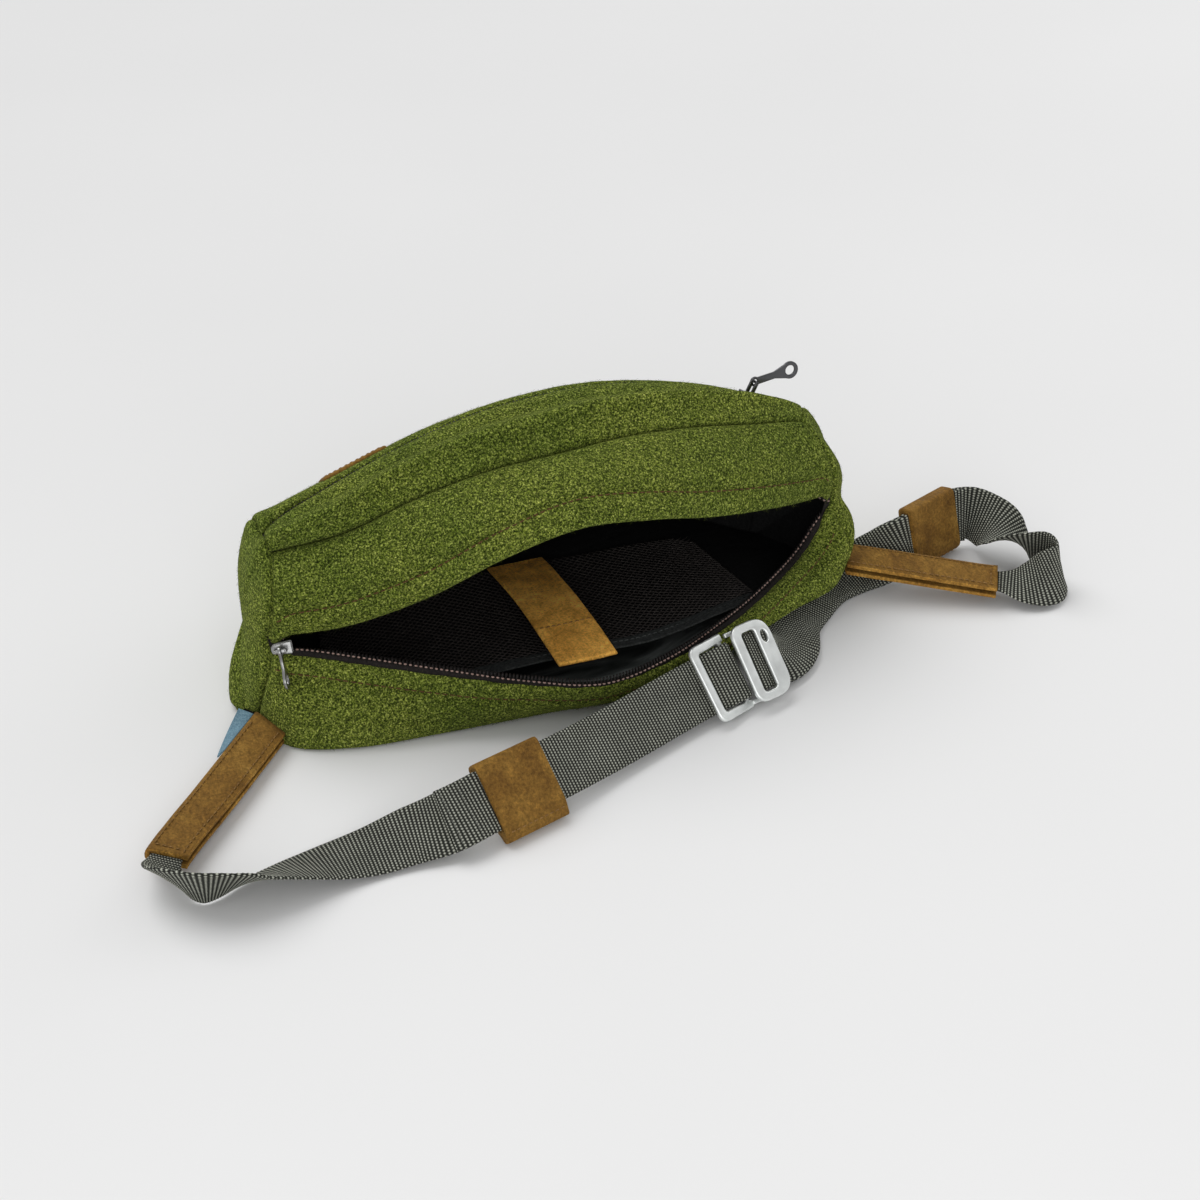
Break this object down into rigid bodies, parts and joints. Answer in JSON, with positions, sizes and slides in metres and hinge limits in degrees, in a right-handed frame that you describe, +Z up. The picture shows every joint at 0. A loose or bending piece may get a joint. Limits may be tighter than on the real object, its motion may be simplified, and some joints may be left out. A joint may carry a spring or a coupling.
{
  "type": "hip bag",
  "caption": "Felt hip bag lying on its back with the main zip open, leather trim, and a webbing belt buckled in front of it.",
  "frame": {"origin": "middle of the back panel's outer face, on the surface that the bag lies on", "axes": "+X along the bag from the slider end of the main zip to the other end, +Y from the belt side to the far side, +Z up"},
  "size_m": [0.4274, 0.2268, 0.1116],
  "materials": {
    "felt": "heathered wool felt with a soft nap",
    "leather": "waxed nubuck with stitched edges",
    "webbing": "ribbed woven webbing",
    "zip_tape": "woven tape with a nylon coil",
    "lining": "plain woven nylon",
    "net": "open knitted net",
    "gunmetal": "dark plated",
    "aluminium": "matte",
    "label": "plain woven tape"
  },
  "bodies": {
    "bag": {"felt_top_near": "felt", "felt_top_far": "felt", "felt_front_upper": "felt", "felt_front_lower": "felt", "felt_base": "felt", "felt_back": "felt", "felt_side_left": "felt", "felt_side_right": "felt", "pocket_zip": "zip_tape", "main_zip_near": "zip_tape", "main_zip_far": "zip_tape", "lining": "lining", "pocket_binding": "lining", "mesh_pocket": "net", "leather_patch": "leather", "key_strip": "leather", "wing_left": "leather", "wing_right": "leather", "keeper_left": "leather", "keeper_right": "leather", "strap_left": "webbing", "strap_right": "webbing", "label_tab": "label", "main_zip_slider": "gunmetal", "pocket_zip_slider": "gunmetal", "buckle_frame": "aluminium", "buckle_hook": "aluminium"},
    "main_pull": {"main_zip_pull": "gunmetal"},
    "pocket_pull": {"pocket_zip_pull": "gunmetal"}
  },
  "joints": [
    {"name": "main_pull_swing", "type": "hinge", "parent": "bag", "child": "main_pull", "pos_m": [-0.12435, -0.00765, 0.04249], "axis": [0.9348, -0.3105, 0.1727], "range_deg": [-120, 0]},
    {"name": "pocket_pull_swing", "type": "hinge", "parent": "bag", "child": "pocket_pull", "pos_m": [0.10198, 0.04162, 0.09568], "axis": [0.0524, -0.9826, 0.1783], "range_deg": [-40, 100]}
  ]
}
